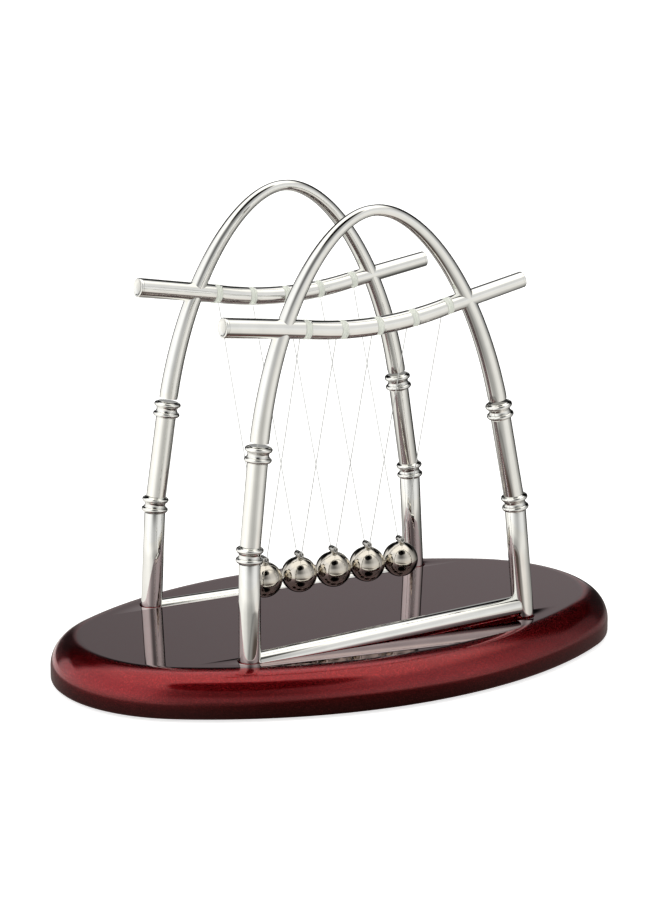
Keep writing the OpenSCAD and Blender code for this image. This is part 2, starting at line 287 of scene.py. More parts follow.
def material(name):
    """A new material with one principled shader."""
    made = bpy.data.materials.new(name)
    made.use_nodes = True
    nodes = Nodes(made.node_tree)
    shader = nodes.add("BsdfPrincipled")
    output = nodes.add("OutputMaterial")
    nodes.join(shader.outputs[0], output.inputs["Surface"])
    return made, nodes, shader


def polished_metal(name, pale, dark, rough_low, rough_high, scratches):
    """Mirror-bright metal with hairline scratches, faint waves and a few dull spots."""
    made, nodes, shader = material(name)
    cloud = nodes.noise(160, detail=4)
    lines = nodes.noise(420, detail=5, roughness=0.65, stretch=(1.0, 1.0, 0.06))
    colour = nodes.blend(nodes.spread(cloud, 0, 1, 0.35, 0.7), rgb(*pale), rgb(*dark))
    spots = nodes.spread(cloud, 0, 1, 0.4, 0.75)
    wear = nodes.math("MULTIPLY", spots, nodes.spread(lines, 0.3, 1, 0.4, 0.7))
    nodes.put(shader, Base_Color=colour, Metallic=1.0, Roughness=nodes.spread(wear, rough_low, rough_high))
    hair = nodes.bump(lines, scratches, 0.35)
    wave = nodes.noise(55, detail=1)
    nodes.put(shader, Normal=nodes.bump(wave, 0.03 * MM, 0.25, hair))
    return made


def lacquer():
    """Dark top and metallic red rim under one thick clear coat. The rim's colour turns darker towards the
    bottom: painted shade.
    """
    made, nodes, shader = material("board_lacquer")
    place = nodes.add("TexCoord").outputs["Object"]
    height = nodes.add("SeparateXYZ")
    nodes.join(place, height.inputs[0])
    z = height.outputs[2]
    on_top = nodes.spread(z, 0, 1, TOP - 0.14 * MM, TOP - 0.03 * MM)
    # Painted shade: the rim's lowest part gets a darker colour, fading out upwards
    low = nodes.spread(z, 1, 0, board_low.z + 2 * MM, board_low.z + 10.5 * MM, smooth=True)

    # Metal flakes in the paint, each with its own brightness and its own tilt
    flakes_per_metre = 3600
    flakes = nodes.put(nodes.add("TexVoronoi"), Vector=place, Scale=flakes_per_metre)
    sparkle = nodes.add("SeparateColor")
    nodes.join(flakes.outputs["Color"], sparkle.inputs[0])
    glint = nodes.spread(sparkle.outputs[0], 0, 1, 0.5, 1.0)
    tilt = nodes.math("SUBTRACT", sparkle.outputs[1], 0.5)
    on_rim = nodes.spread(on_top, 1, 0)
    flake_tilt = nodes.bump(nodes.math("MULTIPLY", tilt, on_rim), 0.2 * MM, 0.3)

    cloud = nodes.noise(45, roughness=0.55, vector=place)
    red = nodes.blend(glint, rgb(0.24, 0.006, 0.009), rgb(0.42, 0.020, 0.024))
    red = nodes.blend(nodes.spread(cloud, 0, 0.35, 0.35, 0.75), red, rgb(0.18, 0.005, 0.009))
    # Painted shade: the dark maroon that the rim takes towards the bottom
    painted_shade_maroon = nodes.blend(glint, rgb(0.085, 0.013, 0.014), rgb(0.17, 0.032, 0.032))
    rim = nodes.blend(low, red, painted_shade_maroon)
    shade = nodes.spread(cloud, 0, 1, 0.3, 0.8)
    top = nodes.blend(shade, rgb(0.034, 0.005, 0.008), rgb(0.026, 0.004, 0.006))
    nodes.put(
        shader,
        Base_Color=nodes.blend(on_top, rim, top),
        Metallic=1.0,
        Roughness=nodes.spread(on_top, 0.17, 0.025),
        Specular_Tint=rgb(1.0, 0.70, 0.72),
        Coat_Weight=1.0,
        Coat_Roughness=0.012,
        Coat_IOR=nodes.spread(on_top, 1.40, 1.6),
        Normal=flake_tilt,
    )
    peel = nodes.noise(130, detail=2, vector=place)
    nodes.put(shader, Coat_Normal=nodes.bump(peel, 0.01 * MM, 0.12))
    return made


def felt():
    """Nearly black pressed wool, with paler fibres that lie flat and a few even patches."""
    made, nodes, shader = material("felt")
    fibre = nodes.noise(1800, detail=4, roughness=0.7, stretch=(1, 1, 3))
    patch = nodes.noise(90)
    colour = nodes.blend(fibre, rgb(0.012, 0.010, 0.010), rgb(0.045, 0.038, 0.038))
    colour = nodes.blend(nodes.spread(patch, 0, 0.4), colour, rgb(0.02, 0.017, 0.017))
    nodes.put(shader, Base_Color=colour, Roughness=0.95, Sheen_Weight=0.35, Sheen_Roughness=0.5)
    nodes.put(shader, Normal=nodes.bump(fibre, 0.2 * MM, 0.8))
    return made


def nylon(name, shade, bright, glow):
    """Pale drawn thread. The glow stands for daylight that comes through it."""
    made, nodes, shader = material(name)
    streak = nodes.noise(700, roughness=0.6, stretch=(1, 1, 0.1))
    nodes.put(
        shader,
        Base_Color=nodes.blend(streak, rgb(*shade), rgb(*bright)),
        Roughness=nodes.spread(streak, 0.12, 0.3),
        IOR=1.53,
        Emission_Color=rgb(0.96, 1.0, 0.93),
        Emission_Strength=glow,
        Normal=nodes.bump(streak, 0.03 * MM, 0.4),
    )
    return made


def screw_steel():
    """Plain steel with fine marks from the lathe."""
    made, nodes, shader = material("screw_steel")
    marks = nodes.noise(900, detail=4, roughness=0.6, stretch=(1, 1, 0.15))
    colour = nodes.blend(marks, rgb(0.42, 0.42, 0.41), rgb(0.6, 0.6, 0.58))
    nodes.put(shader, Base_Color=colour, Metallic=1.0, Roughness=nodes.spread(marks, 0.25, 0.5))
    nodes.put(shader, Normal=nodes.bump(marks, 0.05 * MM, 0.5))
    return made


CHROME = polished_metal(
    "frame_chrome", pale=(0.925, 0.92, 0.885), dark=(0.87, 0.87, 0.835),
    rough_low=0.03, rough_high=0.11, scratches=0.006 * MM,
)
BALL_STEEL = polished_metal(
    "ball_steel", pale=(0.75, 0.705, 0.63), dark=(0.66, 0.615, 0.54),
    rough_low=0.03, rough_high=0.10, scratches=0.005 * MM,
)
SLEEVE_STEEL = polished_metal(
    "sleeve_steel", pale=(0.62, 0.61, 0.58), dark=(0.46, 0.45, 0.42),
    rough_low=0.12, rough_high=0.3, scratches=0.01 * MM,
)
LACQUER = lacquer()
FELT = felt()
THREAD = nylon("nylon_thread", shade=(0.68, 0.69, 0.68), bright=(0.82, 0.83, 0.82), glow=0.06)
WRAP = nylon("nylon_wrap", shade=(0.55, 0.58, 0.50), bright=(0.98, 0.98, 0.94), glow=0.22)
SCREWS = screw_steel()

# ---- Mesh pieces ----

MERGE_DISTANCE = 0.0001 * MM
POINT_RADIUS = 0.001 * MM
DEPTH = Vector((0, 1, 0))
UP = Vector((0, 0, 1))


def piece(name, verts, faces, finish, slot, body, nodes, sharp=35):
    """One smooth mesh piece that stands for the CAD nodes. Edges of more than sharp degrees stay sharp."""
    mesh = bpy.data.meshes.new(name)
    mesh.from_pydata([tuple(v) for v in verts], [], [tuple(f) for f in faces])
    work = bmesh.new()
    work.from_mesh(mesh)
    bmesh.ops.remove_doubles(work, verts=work.verts, dist=MERGE_DISTANCE)
    bmesh.ops.recalc_face_normals(work, faces=work.faces)
    for face in work.faces:
        face.smooth = True
    for edge in work.edges:
        if len(edge.link_faces) == 2 and edge.calc_face_angle(0) > math.radians(sharp):
            edge.smooth = False
    work.to_mesh(mesh)
    work.free()
    mesh.materials.append(finish)
    made = bpy.data.objects.new(name, mesh)
    bpy.context.scene.collection.objects.link(made)
    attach(made, body)
    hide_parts(*nodes)


def chrome(node, suffix, shape, sharp=35):
    """A chrome piece that replaces one node of an arch."""
    verts, faces = shape
    piece(f"{node}_{suffix}", verts, faces, CHROME, "frame_chrome", STAND, [node], sharp)


def loft(rings, closed=False):
    """Verts and faces of a skin over equal rings of points, with a cap at each end unless the ends meet."""
    count = len(rings[0])
    verts = [p for ring in rings for p in ring]
    faces = []
    for i in range(len(rings) if closed else len(rings) - 1):
        a, b = i * count, (i + 1) % len(rings) * count
        for j in range(count):
            k = (j + 1) % count
            faces.append((a + j, a + k, b + k, b + j))
    if not closed:
        faces.append(tuple(range(count)))
        faces.append(tuple(range(len(verts) - count, len(verts))))
    return verts, faces


def together(*parts):
    """Several lots of verts and faces as one."""
    verts, faces = [], []
    for v, f in parts:
        base = len(verts)
        verts += v
        faces += [tuple(i + base for i in face) for face in f]
    return verts, faces


def circle(centre, across, up, radius, sides):
    """A ring of points in the plane of two directions."""
    turns = [2 * math.pi * j / sides for j in range(sides)]
    return [centre + (across * math.cos(t) + up * math.sin(t)) * radius for t in turns]


def in_plane(way):
    """The direction in the arch's plane at right angles to way."""
    return Vector((way.z, 0, -way.x))


def turned(start, end, profile, sides, place=Matrix(), closed=False):
    """A body of revolution about the line from start to end. profile is (distance along, radius) pairs."""
    way = unit(end - start)
    side = unit(way.cross(DEPTH)) if abs(way.y) < 0.9 else unit(way.cross(UP))
    up = way.cross(side)
    rings = [circle(start + way * s, side, up, max(r, POINT_RADIUS), sides) for s, r in profile]
    return loft([[place @ p for p in ring] for ring in rings], closed)


def swept(points, radii, sides, place):
    """A round tube along points that lie in the arch's plane."""
    rings = []
    for i, p in enumerate(points):
        way = unit(points[min(i + 1, len(points) - 1)] - points[max(i - 1, 0)])
        rings.append([place @ q for q in circle(p, in_plane(way), DEPTH, radii[i], sides)])
    return loft(rings)


def tube(points, radius, sides=10, closed=False):
    """A round tube along any points."""
    rings = []
    side = None
    count = len(points)
    for i, p in enumerate(points):
        before = points[i - 1] if i or closed else p
        after = points[(i + 1) % count] if i < count - 1 or closed else p
        way = unit(after - before)
        if side is None:
            side = unit(way.orthogonal())
        side = unit(side - way * side.dot(way))
        rings.append(circle(p, side, way.cross(side), radius, sides))
    return loft(rings, closed)


def arc(centre, radius, start, stop, steps):
    """Points on an arc of a profile, from one angle in degrees to another."""
    turns = [math.radians(start + (stop - start) * i / steps) for i in range(steps + 1)]
    return [(centre[0] + radius * math.cos(t), centre[1] + radius * math.sin(t)) for t in turns]


def corner(centre, radius, turns):
    """Points on a small rounded corner of a profile, at angles in radians from its second axis."""
    return [(centre[0] + radius * math.sin(t), centre[1] + radius * math.cos(t)) for t in turns]


def both_ends(end, run, radius):
    """A profile that starts with one end's points and finishes with their mirror image."""
    return end + [(run / 2, radius)] + [(run - s, r) for s, r in reversed(end)]


# ---- Board ----


def oval_point(angle, inset, z):
    """The point of the board's outline whose outward normal has that angle, moved inwards."""
    way = Vector((math.cos(angle), math.sin(angle), 0))
    if abs(way.y) <= SEAM_RISE:
        centre = Vector((math.copysign(END_CENTRE, way.x), 0, 0))
        radius = END_RADIUS
    else:
        centre = Vector((0, -math.copysign(SIDE_CENTRE, way.y), 0))
        radius = SIDE_RADIUS
    p = centre + way * (radius - inset)
    p.z = z
    return p


def outline_angles(end_steps, side_steps):
    """Normal angles round the oval, with every seam between two arcs among them."""
    half_turn = math.pi
    seams = [-SEAM_ANGLE, SEAM_ANGLE]
    seams += [half_turn - SEAM_ANGLE, half_turn + SEAM_ANGLE, 2 * half_turn - SEAM_ANGLE]
    angles = []
    for i, steps in enumerate((end_steps, side_steps, end_steps, side_steps)):
        angles += [seams[i] + (seams[i + 1] - seams[i]) * j / steps for j in range(steps)]
    return angles


def board_skin():
    """The board's skin from the underside, round the rolled rim, to the flat top, and its last ring."""
    bottom = board_low.z
    # How far in from the outline and how far above the underside, in millimetres
    lower_edge = [(30, 0), (1.2, 0), (0.9, 0.1), (0.3, 0.6), (0.08, 1), (0, 1.4), (0, 2.2)]
    profile = [(inset * MM, bottom + rise * MM) for inset, rise in lower_edge]
    roll = arc((0, TOP - EDGE_RADIUS), EDGE_RADIUS, 0, 90, steps=28)
    profile += [(EDGE_RADIUS - out, z) for out, z in roll]
    profile += [(EDGE_RADIUS + inset * MM, TOP) for inset in (0.4, 2)]
    angles = outline_angles(end_steps=64, side_steps=72)
    rings = [[oval_point(a, inset, z) for a in angles] for inset, z in profile]
    verts, faces = loft(rings)
    faces.pop()
    return verts, faces, rings[-1]


def trough_turns():
    """Angles round a trough's two half-round ends."""
    steps = 24
    right = [math.pi * (j + 0.5) / steps - math.pi / 2 for j in range(steps)]
    return right + [t + math.pi for t in right]


def trough_skin(side):
    """The walls and floor of the trough under one arch, and the ring round its softened mouth."""
    depth = middle(side + "_bow").y
    floor = TOP + FOOT_LEVEL - TROUGH_RADIUS
    lip = 0.4 * MM
    walls = corner((-lip, TOP - lip), lip, (0, 0.5, 1.0, 1.57))
    walls += [(0, floor + 0.8 * MM), (0.3 * MM, floor + 0.2 * MM), (0.8 * MM, floor)]
    loops = []
    for inset, z in walls:
        loop = []
        for t in trough_turns():
            way = Vector((math.cos(t), math.sin(t), 0))
            p = Vector((math.copysign(FOOT_SPACING / 2, way.x), depth, 0)) + way * (TROUGH_RADIUS - inset)
            p.z = z
            loop.append(p)
        loops.append(loop)
    verts, faces = loft(loops)
    faces.pop(-2)
    return verts, faces, loops[0]


def build_board():
    """One skin: the rim, the two troughs, and the flat top between their edges."""
    verts, faces, rim = board_skin()
    parts = [(verts, faces)]
    edges = [rim]
    for side in SIDES:
        verts, faces, mouth = trough_skin(side)
        parts.append((verts, faces))
        edges.append(mouth)
    corners = [p for loop in edges for p in loop]
    parts.append((corners, [tuple(t) for t in tessellate_polygon(edges)]))
    piece("lacquered_board", *together(*parts), LACQUER, "board_lacquer", STAND, ["base_board"])


def build_felt():
    """The felt's cut edge is a little fuzzy, so its outline wanders by a tenth of a millimetre."""
    angles = outline_angles(end_steps=90, side_steps=100)
    clearance = 0.1 * MM
    fuzz = 0.05 * MM
    layers = [
        (0.3 * MM, felt_low.z),
        (0.05 * MM, felt_low.z + 0.12 * MM),
        (0.0, felt_low.z + 0.5 * MM),
        (0.06 * MM, felt_high.z - clearance),
    ]
    rings = []
    for step, z in layers:
        ring = []
        for a in angles:
            wander = fuzz * (math.sin(37 * a + 9 * z / MM) + math.sin(91 * a + 2))
            ring.append(oval_point(a, FELT_INSET + clearance + step + wander, z))
        rings.append(ring)
    piece("felt_pad", *loft(rings), FELT, "felt", STAND, ["felt_sheet"], sharp=60)


# ---- Arches ----


def bezier(p, t):
    """The point at t of the cubic curve with four control points."""
    s = 1 - t
    return s ** 3 * p[0] + 3 * s ** 2 * t * p[1] + 3 * s * t * t * p[2] + t ** 3 * p[3]


LEAN = math.atan2(LOWER_COLLAR.x - UPPER_COLLAR.x, UPPER_COLLAR.y - LOWER_COLLAR.y)
HALF_BOW = [
    UPPER_COLLAR,
    UPPER_COLLAR + BOW_HANDLE * Vector((-math.sin(LEAN), math.cos(LEAN))),
    Vector((CROWN_HANDLE, CROWN_HEIGHT)),
    Vector((0, CROWN_HEIGHT)),
]


def bow_point(u):
    """A point of the arch above the upper collars: u is 0 at the right one, 1 at the crown."""
    p = bezier(HALF_BOW, u if u <= 1 else 2 - u)
    return Vector((p.x if u <= 1 else -p.x, 0, p.y))


def bow_radius(u):
    """The arch is slimmest at its crown."""
    return UPPER_LEG_RADIUS - (UPPER_LEG_RADIUS - CROWN_RADIUS) * (1 - abs(1 - u)) ** TAPER_POWER


def bar_level(x):
    """Height of the crossbar's middle line: curved between the outer ties and straight beyond them."""
    x = abs(x)
    if x <= TIE_SPAN:
        return BAR_HEIGHT + x * x / (2 * BAR_CURVE_RADIUS)
    return BAR_HEIGHT + TIE_SPAN ** 2 / (2 * BAR_CURVE_RADIUS) + (x - TIE_SPAN) * BAR_SLOPE


def bar_point(x):
    return Vector((x, 0, bar_level(x)))


def bar_radius(x):
    from_left = (x + BAR_HALF) / (2 * BAR_HALF)
    return BAR_LEFT_RADIUS + (BAR_RIGHT_RADIUS - BAR_LEFT_RADIUS) * from_left


def tie_x(k):
    return (k - MIDDLE_BALL) * PITCH


def crossing():
    """How far along the half bow the crossbar meets it, found by halving."""
    low, high = 0.0, 1.0
    for _ in range(30):
        half = (low + high) / 2
        p = bow_point(half)
        if p.z < bar_level(p.x):
            low = half
        else:
            high = half
    return low


CROSSING = crossing()


def on_arch(at, sign):
    """A collar's middle on one hand of the arch."""
    return Vector((sign * at.x, 0, at.y))


def collar_way(at, sign):
    """Direction of the leg through a collar."""
    angle = LEAN
    if at == LOWER_COLLAR:
        angle = (math.atan2(FOOT_SPACING / 2 - at.x, at.y) + LEAN) / 2
    return Vector((-sign * math.sin(angle), 0, math.cos(angle)))


def lower_leg_profile(run):
    """From the end in the trough to the neck inside the lower collar."""
    bevel = 0.3 * MM
    collar = run - COLLAR_HALF
    return [
        (-FOOT_PEG, FOOT_RADIUS - bevel),
        (bevel - FOOT_PEG, FOOT_RADIUS),
        (run / 2, (FOOT_RADIUS + LOWER_LEG_TOP_RADIUS) / 2),
        (collar - bevel, LOWER_LEG_TOP_RADIUS),
        (collar - 0.05 * MM, LOWER_LEG_TOP_RADIUS - SOFT_EDGE),
        (collar, NECK_RADIUS),
    ]


def middle_leg_profile(run):
    """From the neck inside the lower collar to the one inside the upper collar."""
    r = MIDDLE_LEG_RADIUS
    end = [(COLLAR_HALF, NECK_RADIUS), (COLLAR_HALF, r - SOFT_EDGE), (COLLAR_HALF + 0.2 * MM, r)]
    return both_ends(end, run, r)


def collar_profile():
    """Two round rings on a waist, with a small hollow between them."""
    waist, ring, spacing, soft = 3.95 * MM, 1.0 * MM, 1.95 * MM, 0.12 * MM
    face = -COLLAR_HALF
    end = [(face, COLLAR_BORE_RADIUS), (face, waist - soft), (face + 0.1 * MM, waist)]
    first, second = [arc((centre, FOOT_RADIUS), ring, 168, 12, steps=18) for centre in (-spacing, spacing)]
    across = [0.35 * MM * i for i in range(-2, 3)]
    hollow = [(z, waist + soft + 0.25 * MM * (z / (0.8 * MM)) ** 2) for z in across]
    return end + first + hollow + second + [(-z, r) for z, r in reversed(end)]


def build_legs(side):
    place = PLACE[side]
    for hand, sign in HANDS.items():
        prefix = f"{side}_{hand}_"
        foot = Vector((sign * FOOT_SPACING / 2, 0, FOOT_LEVEL))
        low = on_arch(LOWER_COLLAR, sign)
        high = on_arch(UPPER_COLLAR, sign)
        profile = lower_leg_profile((low - foot).length)
        chrome(prefix + "lower_leg", "rod", turned(foot, low, profile, sides=72, place=place))
        profile = middle_leg_profile((high - low).length)
        chrome(prefix + "middle_leg", "rod", turned(low, high, profile, sides=72, place=place))
        build_upper_leg(prefix, sign, place)
        for level, at in (("lower", LOWER_COLLAR), ("upper", UPPER_COLLAR)):
            centre = on_arch(at, sign)
            beyond = centre + collar_way(at, sign)
            ring = turned(centre, beyond, collar_profile(), sides=80, place=place)
            chrome(f"{prefix}{level}_collar", "ring", ring)


def build_upper_leg(prefix, sign, place):
    """From just above the upper collar's middle to the crossbar."""
    steps = 30
    start = 0.03
    stops = [start + (CROSSING - start) * i / steps for i in range(steps + 1)]
    rights = [bow_point(u) for u in stops]
    points = [Vector((sign * p.x, 0, p.z)) for p in rights]
    radii = [bow_radius(u) for u in stops]
    radii[0] -= SOFT_EDGE
    chrome(prefix + "upper_leg", "rod", swept(points, radii, sides=72, place=place))


def build_bow(side):
    """From the crossbar over the crown and down to the crossbar."""
    steps = 150
    stops = [CROSSING + (2 - 2 * CROSSING) * i / steps for i in range(steps + 1)]
    points = [bow_point(u) for u in stops]
    radii = [bow_radius(u) for u in stops]
    shape = swept(points, radii, sides=64, place=PLACE[side])
    chrome(side + "_bow", "rod", shape)


def build_stretcher(side):
    """The rod between the feet, with rounded ends inside the legs."""
    half = FOOT_SPACING / 2
    level = STRETCHER_LEVEL[side]
    a, b = Vector((-half, 0, level)), Vector((half, 0, level))
    # Distance from the leg's middle line, and how much slimmer the rod is there, in millimetres
    rounding = [(2.2, 0.8), (2.35, 0.4), (2.65, 0.1), (3.0, 0)]
    end = [(s * MM, STRETCHER_RADIUS - slimmer * MM) for s, slimmer in rounding]
    profile = both_ends(end, FOOT_SPACING, STRETCHER_RADIUS)
    shape = turned(a, b, profile, sides=72, place=PLACE[side])
    chrome(side + "_stretcher", "rod", shape)


def groove_floor(k, offset):
    """Radius of the crossbar in the tie groove k, at an offset along the bar from its middle."""
    floor = bar_radius(tie_x(k)) + GROOVE_RADIUS - GROOVE_DEPTH
    return floor - math.sqrt(GROOVE_RADIUS ** 2 - offset ** 2)


def build_crossbar(side):
    """The bar narrows in each tie groove. It has more points in a groove than between two."""
    end = BAR_HALF - CAP_THICKNESS
    half_width = math.sqrt(GROOVE_RADIUS ** 2 - (GROOVE_RADIUS - GROOVE_DEPTH) ** 2)
    end_steps, steps, groove_steps = 18, 10, 24
    stations = []
    stop = -end
    for k in BALLS:
        start = tie_x(k) - half_width
        count = end_steps if k == BALLS[0] else steps
        plain = [stop + (start - stop) * i / count for i in range(count)]
        stations += [(x, bar_radius(x)) for x in plain]
        offsets = [-half_width + 2 * half_width * i / groove_steps for i in range(groove_steps + 1)]
        stations += [(tie_x(k) + offset, groove_floor(k, offset)) for offset in offsets]
        stop = tie_x(k) + half_width + 0.01 * MM
    plain = [stop + (end - stop) * i / end_steps for i in range(end_steps + 1)]
    stations += [(x, bar_radius(x)) for x in plain]
    points = [bar_point(x) for x, radius in stations]
    radii = [radius for x, radius in stations]
    shape = swept(points, radii, sides=80, place=PLACE[side])
    chrome(side + "_crossbar", "rod", shape, sharp=28)


def build_cap(side, hand, sign):
    """A pressed-in end cap with a rounded rim and a dished face."""
    end = sign * (BAR_HALF - CAP_THICKNESS)
    a = bar_point(end)
    way = unit(Vector((sign, 0, BAR_SLOPE)))
    r = bar_radius(end)
    rim = 0.35 * MM
    profile = [(0, r - 0.12 * MM), (0.08 * MM, r)]
    face = CAP_THICKNESS
    profile += corner((face - rim, r - rim), rim, (0, 0.4, 0.8, 1.2, 1.57))
    dish = [(0, r - 0.7 * MM), (0.12, r - 0.85 * MM), (0.32, r - 1.1 * MM), (0.4, 0.45 * r), (0.42, 0)]
    profile += [(face - sink * MM, radius) for sink, radius in dish]
    shape = turned(a, a + way, profile, sides=64, place=PLACE[side])
    chrome(f"{side}_{hand}_cap", "plug", shape, sharp=50)


# ---- Threads, their ties and the balls ----


def hinge_of(k):
    return next(j for j in frame["joints"] if j["name"] == f"ball_{k}_swing")


def thread_ends(k):
    """The two points of the hinge line where the thread of ball k meets its knots."""
    hinge = hinge_of(k)
    at, way = Vector(hinge["pos_m"]), Vector(hinge["axis"])
    low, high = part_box(f"ball_{k}_thread")
    return [at + way * ((y - at.y) / way.y) for y in (low.y, high.y)]


def tie_frame(k):
    """Place, direction along the bar and the direction across it, at a tie."""
    step = PITCH / 2
    way = unit(bar_point(tie_x(k) + step) - bar_point(tie_x(k) - step))
    return bar_point(tie_x(k)), way, in_plane(way)


def wound(k, steps, course):
    """Thread wound round the bar at a tie. For a t of 0 to 1, course gives its angle, offset and radius."""
    centre, way, across = tie_frame(k)
    points = []
    for i in range(steps + 1):
        angle, offset, radius = course(i / steps)
        spoke = across * math.cos(angle) + DEPTH * math.sin(angle)
        points.append(centre + way * offset + spoke * radius)
    return tube(points, WRAP_RADIUS)


def wrapping(k):
    """Six turns of thread laid side by side in the groove, and two looser turns that cross over them."""
    turns = 6
    width, floor_reach, gap = 2.3 * MM, 1.3 * MM, 0.02 * MM
    on_coil = 3.2 * WRAP_RADIUS

    def laid(t):
        offset = (t - 0.5) * width
        jitter = 0.04 * MM * math.sin(5.3 * turns * t + 1.7 * k)
        radius = groove_floor(k, min(abs(offset), floor_reach)) + WRAP_RADIUS + gap + jitter / 2
        return 2 * math.pi * turns * t, offset + jitter, radius

    def crossing_over(t):
        offset = 0.75 * MM * math.sin(2 * math.pi * t + k)
        radius = groove_floor(k, 0) + on_coil + 0.1 * MM * math.sin(6 * math.pi * t)
        return 4 * math.pi * t + k, offset, radius

    return [wound(k, 40 * turns, laid), wound(k, 120, crossing_over)]


def knot_at(centre, tangent, k, size):
    """A small trefoil of thread with a clipped tail."""
    side = unit(tangent.orthogonal())
    up = tangent.cross(side)
    turn = Matrix.Rotation(0.9 * k, 3, tangent)
    side, up = turn @ side, turn @ up
    steps = 72
    trefoil_reach = 3.6  # in the units of x, y and z below
    points = []
    for i in range(steps):
        t = 2 * math.pi * i / steps
        x = math.sin(t) + 2 * math.sin(2 * t)
        y = math.cos(t) - 2 * math.cos(2 * t)
        z = -1.3 * math.sin(3 * t)
        points.append(centre + (side * x + up * y + tangent * z) * size / trefoil_reach)
    tail = [centre + (side * (0.2 + 0.9 * s) + up * 0.5 * s * s) * size for s in (0, 0.3, 0.6, 1.0)]
    return [tube(points, KNOT_THREAD_RADIUS, closed=True), tube(tail, TAIL_RADIUS, sides=8)]


def build_ties(side):
    """The wraps in the five grooves of one crossbar, and the knot under each."""
    place = PLACE[side]
    index = SIDES.index(side)
    drop, size = 0.7 * MM, 0.62 * MM
    parts = []
    for k in BALLS:
        parts += [([place @ p for p in verts], faces) for verts, faces in wrapping(k)]
        end = thread_ends(k)[index]
        down = unit(middle(f"ball_{k}_sleeve") - end)
        parts += knot_at(end - down * drop, down, k + index, size)
    piece(side + "_ties", *together(*parts), WRAP, "nylon", STAND, [side + "_knots"], sharp=70)


def hinge_way(k):
    """The level direction of a ball's hinge, from its front knot to its back knot."""
    way = Vector(hinge_of(k)["axis"])
    way.z = 0
    return unit(way) if way.y > 0 else -unit(way)


def ball_skin(k):
    """A sphere with a small soldered saddle that rises under the sleeve."""
    low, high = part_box(f"ball_{k}")
    radius = (high.x - low.x) / 2
    centre = Vector(((low.x + high.x) / 2, (low.y + high.y) / 2, low.z + radius))
    along = hinge_way(k)
    across = Vector((along.y, -along.x, 0))
    saddle_across, saddle_along, saddle_rise = 1.7 * MM, 2.5 * MM, 0.42 * MM
    rows, columns = 96, 128
    rings = []
    for i in range(1, rows):
        polar = math.pi * i / rows
        ring = []
        for j in range(columns):
            a = 2 * math.pi * j / columns
            way = (along * math.cos(a) + across * math.sin(a)) * math.sin(polar) + UP * math.cos(polar)
            rise = 0.0
            if way.z > 0:
                x, y = way.dot(across) * radius / saddle_across, way.dot(along) * radius / saddle_along
                rise = saddle_rise * (max(0.0, 1 - x * x) * max(0.0, 1 - y * y)) ** 1.6
            ring.append(centre + way * (radius + rise))
        rings.append(ring)
    return loft(rings)


def sleeve_section():
    """The wall of a short drawn tube: one rounded mouth and its mirror image."""
    half, outer, bore = SLEEVE_HALF, SLEEVE_RADIUS, SLEEVE_BORE_RADIUS
    lip, soft = 0.16 * MM, 0.05 * MM
    mouth = [
        (lip - half, outer),
        (soft - half, outer - soft),
        (-half, outer - lip),
        (-half, bore + lip),
        (soft - half, bore + soft),
        (lip - half, bore),
    ]
    return mouth + [(-s, r) for s, r in reversed(mouth)]


def thread_path(k):
    """A V with a soft bend at each mouth of the sleeve."""
    sleeve = middle(f"ball_{k}_sleeve")
    reach = hinge_way(k) * SLEEVE_HALF
    inner, outer, steps = 0.5 * MM, 0.6 * MM, 8
    front, back = thread_ends(k)
    bends = []
    for mouth, end in ((sleeve - reach, front), (sleeve + reach, back)):
        inside = mouth + unit(sleeve - mouth) * inner
        outside = mouth + unit(end - mouth) * outer
        handles = [outside, outside.lerp(mouth, 0.7), inside.lerp(mouth, 0.7), inside]
        bends.append([bezier(handles, t / steps) for t in range(steps + 1)])
    return [front] + bends[0] + bends[1][::-1] + [back]


def build_ball(k):
    body = f"pendulum_{k}"
    ball, sleeve = f"ball_{k}", f"ball_{k}_sleeve"
    piece(ball + "_steel", *ball_skin(k), BALL_STEEL, "ball_steel", body, [ball])
    at = middle(sleeve)
    shape = turned(at, at + hinge_way(k), sleeve_section(), sides=40, closed=True)
    piece(sleeve + "_tube", *shape, SLEEVE_STEEL, "sleeve_steel", body, [sleeve], sharp=50)
    thread = tube(thread_path(k), THREAD_RADIUS, sides=12)
    piece(ball + "_nylon", *thread, THREAD, "nylon", body, [ball + "_thread"], sharp=80)


# ---- Everything ----

build_board()
build_felt()
for side in SIDES:
    build_legs(side)
    build_bow(side)
    build_stretcher(side)
    build_crossbar(side)
    for hand, sign in HANDS.items():
        build_cap(side, hand, sign)
    build_ties(side)
for k in BALLS:
    build_ball(k)

# The screws keep their CAD shape
screws = frame["nodes"]["frame_screws"]
screws.data.materials.clear()
screws.data.materials.append(SCREWS)

# ---- Floor and light ----

# Each list gives brightness by level direction: (degrees from the camera's side, brightness).
# The studio's walls, well above the horizon
WALLS = [
    (-180, 0.31), (-172, 0.25), (-166, 0.02), (-140, 0.03), (-131, 0.7), (-112, 1.0), (-58, 1.1),
    (-38, 1.05), (-22, 0.62), (-12, 0.30), (-2, 0.17), (12, 0.17), (22, 0.28), (36, 0.5), (52, 0.72),
    (72, 0.76), (92, 0.5), (108, 0.34), (122, 0.15), (135, 0.03), (164, 0.02), (170, 0.35), (180, 0.31),
]
# The horizon and the far part of the table
HORIZON = [
    (-180, 0.31), (-172, 0.25), (-166, 0.02), (-140, 0.03), (-131, 0.7), (-112, 1.05), (-58, 1.2),
    (-38, 1.05), (-20, 0.72), (-6, 0.55), (10, 0.50), (24, 0.60), (38, 0.76), (52, 0.86), (72, 0.84),
    (92, 0.55), (108, 0.35), (122, 0.15), (135, 0.03), (164, 0.02), (170, 0.35), (180, 0.31),
]
